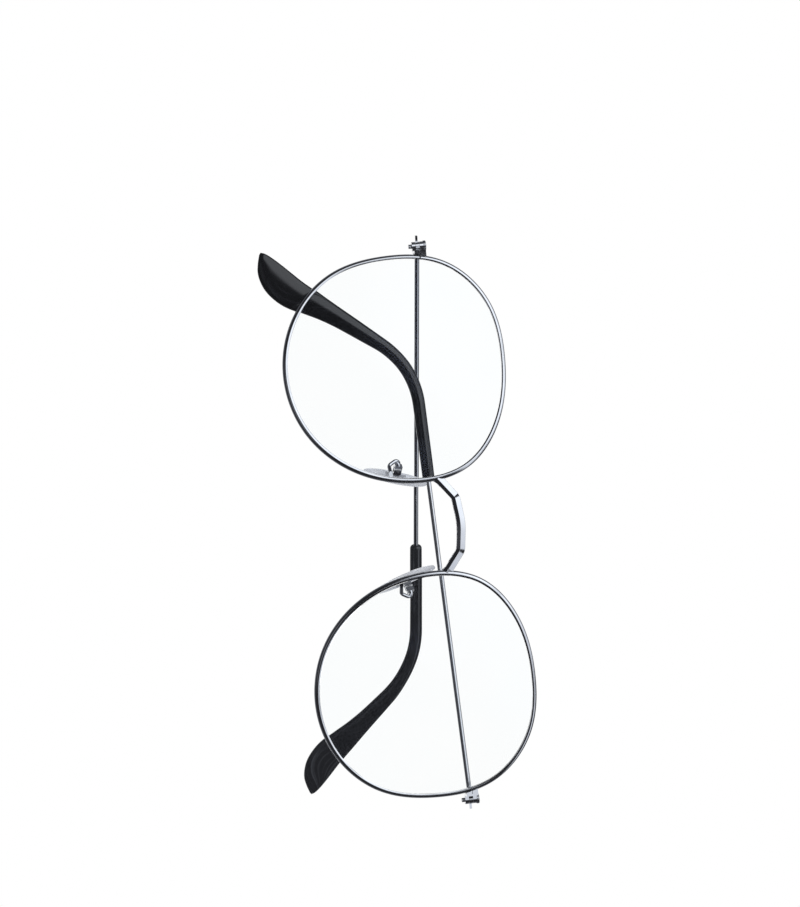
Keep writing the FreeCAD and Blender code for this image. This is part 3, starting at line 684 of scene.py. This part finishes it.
def temple_line(side_name, side):
    """The line of a temple's wire.

    It gives a function of the distance from the hinge that returns the place and the upward direction
    there, then the length of the line, then the direction across it.
    """
    facts = TEMPLES[side_name]
    turn = Matrix.Rotation(-side * math.radians(facts["fold"]), 3, "Z")
    hinge = hinge_place(side_name)
    pitch = math.radians(facts["pitch"])
    bend = math.radians(facts["bend"])
    radius = facts["radius"]
    run = radius * math.tan(bend / 2)
    arc_length = radius * bend
    straight = facts["bend_distance"] - run
    end = straight + arc_length + facts["tip_drop"] - run

    def directions(angle):
        along = Vector((-side * math.cos(angle), 0, -math.sin(angle)))
        upward = Vector((-side * math.sin(angle), 0, math.cos(angle)))
        return along, upward

    def frame_at(distance):
        turned = min(max((distance - straight) / radius, 0), bend)
        before, upward_before = directions(pitch)
        along, upward = directions(pitch + turned)
        centre = BACK * TEMPLE_OFFSET + before * straight - upward_before * radius
        beyond = distance - straight - radius * turned
        point = centre + upward * radius + along * beyond
        return hinge + turn @ point, turn @ upward

    return frame_at, end, turn @ BACK


def station_at(place):
    """A tip's shares at a place along it, on a smooth curve through the stations."""
    table = TIP_STATION_SHARES
    i = 0
    while i < len(table) - 2 and table[i + 1][0] < place:
        i += 1
    before, first = table[max(i - 1, 0)], table[i]
    second, after = table[i + 1], table[min(i + 2, len(table) - 1)]
    span = second[0] - first[0]
    start, slope, end, end_slope = curve_weights((place - first[0]) / span)
    shares = []
    for column in range(1, len(first)):
        leaving = (second[column] - before[column]) / (second[0] - before[0]) * span
        arriving = (after[column] - first[column]) / (after[0] - first[0]) * span
        ends = start * first[column] + slope * leaving
        shares.append(ends + end * second[column] + end_slope * arriving)
    return shares


def oval(middle, upward, sideways, half_height, half_thickness, power):
    """A ring of points: an ellipse where the power is 2, and squarer where it is more."""
    ring = []
    for step in range(TIP_POINTS):
        angle = 2 * math.pi * step / TIP_POINTS
        across = math.copysign(abs(math.cos(angle)) ** (2 / power), math.cos(angle))
        over = math.copysign(abs(math.sin(angle)) ** (2 / power), math.sin(angle))
        ring.append(middle + upward * (half_height * across) + sideways * (half_thickness * over))
    return ring


def make_temple_tip(side_name, side, finish):
    """The black sleeve from its mouth round the wire to the rounded end of its paddle."""
    frame_at, end, sideways = temple_line(side_name, side)
    start = TEMPLES[side_name]["tip_start"]
    half_paddle = PADDLE_HEIGHT / 2
    hole = TIP_WIRE_RADIUS + TIP_MOUTH_GAP
    rings = []

    # The hole at the mouth, from inside outward, then the rounded shoulder
    for depth in (TIP_MOUTH_DEPTH, 0):
        point, upward = frame_at(start + depth)
        rings.append(oval(point, upward, sideways, hole, hole, ELLIPSE_POWER))
    first = TIP_MOUTH_LENGTH / (end - start)
    full_inner, full_outer, full_thickness = station_at(first)
    full_height = half_paddle * (full_inner + full_outer) / 2
    full_side = NECK_THICKNESS / 2 * full_thickness
    for step in range(1, TIP_MOUTH_STEPS):
        angle = math.pi / 2 * step / TIP_MOUTH_STEPS
        point, upward = frame_at(start + TIP_MOUTH_LENGTH * (1 - math.cos(angle)))
        grown = math.sin(angle)
        height = hole + (full_height - hole) * grown
        half_thickness = hole + (full_side - hole) * grown
        rings.append(oval(point, upward, sideways, height, half_thickness, ELLIPSE_POWER))

    # The sleeve, which grows squarer toward its paddle, and its rounded end
    for step in range(TIP_RINGS + 1):
        place = first + (1 - first) * math.sin(math.pi / 2 * step / TIP_RINGS) ** TIP_RING_POWER
        inner, outer, thickness = station_at(place)
        point, upward = frame_at(start + (end - start) * place)
        middle = point + upward * (half_paddle * (outer - inner) / 2)
        half_height = half_paddle * (outer + inner) / 2
        half_thickness = NECK_THICKNESS / 2 * thickness
        growth = max(0, min(1, (place - PADDLE_START_SHARE) / PADDLE_GROWTH_SHARE))
        power = ELLIPSE_POWER + PADDLE_EXTRA_POWER * growth
        rings.append(oval(middle, upward, sideways, half_height, half_thickness, power))

    name = side_name + "_tip_sleeve"
    piece = add_piece(name, skin(name, rings), finish, side_name + "_temple", side_name + "_temple_tip")


# Nose pads

def make_nose_pad(side_name, side, finish):
    """An oval pad on the CAD pad's place, domed toward the nose and flatter behind."""
    turn = Matrix.Rotation(-PAD_SPLAY, 3, "Y") @ Matrix.Rotation(-PAD_FLARE, 3, "Z")
    levels = []
    for step in range(1, PAD_RINGS):
        angle = math.pi / 2 * step / PAD_RINGS
        levels.append((math.sin(angle), -PAD_BULGE * math.cos(angle) ** PAD_DOME_POWER))
    for step in range(PAD_RINGS, 0, -1):
        angle = math.pi / 2 * step / PAD_RINGS
        depth = PAD_BACK_DEPTH * math.cos(angle) ** PAD_BACK_POWER
        levels.append((math.sin(angle) ** PAD_SIDE_POWER, depth))
    rings = []
    for share, depth in levels:
        ring = []
        for step in range(PAD_POINTS):
            angle = 2 * math.pi * step / PAD_POINTS
            across = PAD_WIDTH / 2 * share * math.cos(angle)
            lengthwise = PAD_LENGTH / 2 * share * math.sin(angle)
            at = turn @ Vector((depth, across, lengthwise)) + Vector((PAD_CENTRE, 0, 0))
            ring.append(Vector((side * at.x, at.y, at.z)))
        rings.append(ring)
    name = side_name + "_soft_pad"
    piece = add_piece(name, skin(name, rings), finish, side_name + "_pad", side_name + "_nose_pad")
    let_light_through(piece)


# Studio

def make_camera():
    """A camera in front of the glasses, turned so that they lie on their side."""
    data = bpy.data.cameras.new("camera")
    data.lens = CAMERA_LENS_MM
    data.sensor_width = CAMERA_SENSOR_MM
    camera = bpy.data.objects.new("camera", data)
    bpy.context.scene.collection.objects.link(camera)
    tilt = Matrix.Rotation(-CAMERA_YAW, 4, "Z") @ Matrix.Rotation(-CAMERA_TILT, 4, "X")
    lie_down = Matrix.Rotation(CAMERA_ROLL - math.pi / 2, 4, "Y")
    look_back = Matrix.Rotation(math.pi / 2, 4, "X")
    turn = tilt @ lie_down @ look_back
    away = turn @ Vector((0, 0, CAMERA_DISTANCE))
    camera.matrix_world = Matrix.Translation(CAMERA_TARGET + away) @ turn
    bpy.context.scene.camera = camera


def make_world():
    """White where the camera sees it, a room of patches where it is mirrored, and softer as a light."""
    world = bpy.data.worlds.new("studio")
    world.use_nodes = True
    bpy.context.scene.world = world
    tree = world.node_tree
    ray = tree.nodes.new("ShaderNodeLightPath")
    place = tree.nodes.new("ShaderNodeTexCoord").outputs["Generated"]

    room = ROOM_COLOUR
    for toward, edge, full, colour in PATCHES:
        dot = tree.nodes.new("ShaderNodeVectorMath")
        dot.operation = "DOT_PRODUCT"
        dot.inputs[1].default_value = toward.normalized()
        tree.links.new(place, dot.inputs[0])
        room = add_tint(tree, add_spread(tree, dot.outputs["Value"], 0, 1, edge, full), room, colour)
    room = add_tint(tree, ray.outputs["Glossy Depth"], WHITE, room)

    seen = tree.nodes["Background"]
    seen.inputs["Strength"].default_value = 1.0
    tree.links.new(room, seen.inputs["Color"])
    fill = tree.nodes.new("ShaderNodeBackground")
    fill.inputs["Color"].default_value = WHITE
    fill.inputs["Strength"].default_value = WORLD_FILL
    shown = add_math(tree, "MAXIMUM", ray.outputs["Is Camera Ray"], ray.outputs["Is Glossy Ray"])
    shown = add_math(tree, "MAXIMUM", shown, ray.outputs["Is Transmission Ray"])
    mix = tree.nodes.new("ShaderNodeMixShader")
    tree.links.new(shown, mix.inputs["Fac"])
    tree.links.new(fill.outputs["Background"], mix.inputs[1])
    tree.links.new(seen.outputs["Background"], mix.inputs[2])
    tree.links.new(mix.outputs["Shader"], tree.nodes["World Output"].inputs["Surface"])


def make_lamps():
    """Soft square lamps that face the origin and that nothing mirrors."""
    for number, (place, width, power) in enumerate(LAMPS):
        data = bpy.data.lights.new("soft_lamp_%d" % number, "AREA")
        data.size = width
        data.energy = power
        lamp = bpy.data.objects.new(data.name, data)
        facing = place.to_track_quat("Z", "Y").to_matrix().to_4x4()
        lamp.matrix_world = Matrix.Translation(place) @ facing
        lamp.visible_glossy = False
        bpy.context.scene.collection.objects.link(lamp)


def make_floor(height):
    """A pale floor under the glasses, which is clear from below so that it hides nothing there."""
    finish = Finish("pale_floor")
    grain = finish.between(finish.noise(FLOOR_GRAIN), *FLOOR_ROUGHNESS)
    finish.shader.inputs["Base Color"].default_value = FLOOR_COLOUR
    finish.feed("Roughness", grain)
    tree = finish.tree
    side = tree.nodes.new("ShaderNodeNewGeometry")
    clear = tree.nodes.new("ShaderNodeBsdfTransparent")
    mix = tree.nodes.new("ShaderNodeMixShader")
    tree.links.new(side.outputs["Backfacing"], mix.inputs["Fac"])
    tree.links.new(finish.shader.outputs["BSDF"], mix.inputs[1])
    tree.links.new(clear.outputs["BSDF"], mix.inputs[2])
    tree.links.new(mix.outputs["Shader"], tree.nodes["Material Output"].inputs["Surface"])
    form = bmesh.new()
    bmesh.ops.create_grid(form, x_segments=1, y_segments=1, size=FLOOR_SIZE / 2)
    mesh = bpy.data.meshes.new("floor")
    form.to_mesh(mesh)
    form.free()
    floor = bpy.data.objects.new("floor", mesh)
    floor.location = (0, 0, height)
    floor.data.materials.append(finish.material)
    floor.visible_glossy = False
    bpy.context.scene.collection.objects.link(floor)


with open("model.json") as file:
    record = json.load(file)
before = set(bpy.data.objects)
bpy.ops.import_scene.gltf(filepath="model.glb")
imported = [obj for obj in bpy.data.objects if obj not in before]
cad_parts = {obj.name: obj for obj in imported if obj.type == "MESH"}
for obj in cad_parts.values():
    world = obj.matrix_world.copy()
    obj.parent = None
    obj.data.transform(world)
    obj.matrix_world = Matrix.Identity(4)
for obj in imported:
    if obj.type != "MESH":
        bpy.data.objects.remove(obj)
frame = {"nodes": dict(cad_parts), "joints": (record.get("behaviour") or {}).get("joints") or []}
cad_low, cad_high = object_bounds()
bpy.context.scene.view_settings.view_transform = "Standard"
make_camera()
make_world()
make_lamps()
make_floor(cad_low[2] - FLOOR_GAP)

chrome = make_chrome()
steel = make_steel()
lens = make_lens_finish()
pad = make_pad_finish()
tips = {side_name: make_tip_finish(side_name) for side_name, _ in SIDES}
dress_nodes(chrome, steel, lens, pad, tips)
make_bridge(chrome)
for side_name, side in SIDES:
    make_rim(side_name, side, chrome)
    make_lens(side_name, side, lens)
    make_temple_tip(side_name, side, tips[side_name])
    make_nose_pad(side_name, side, pad)
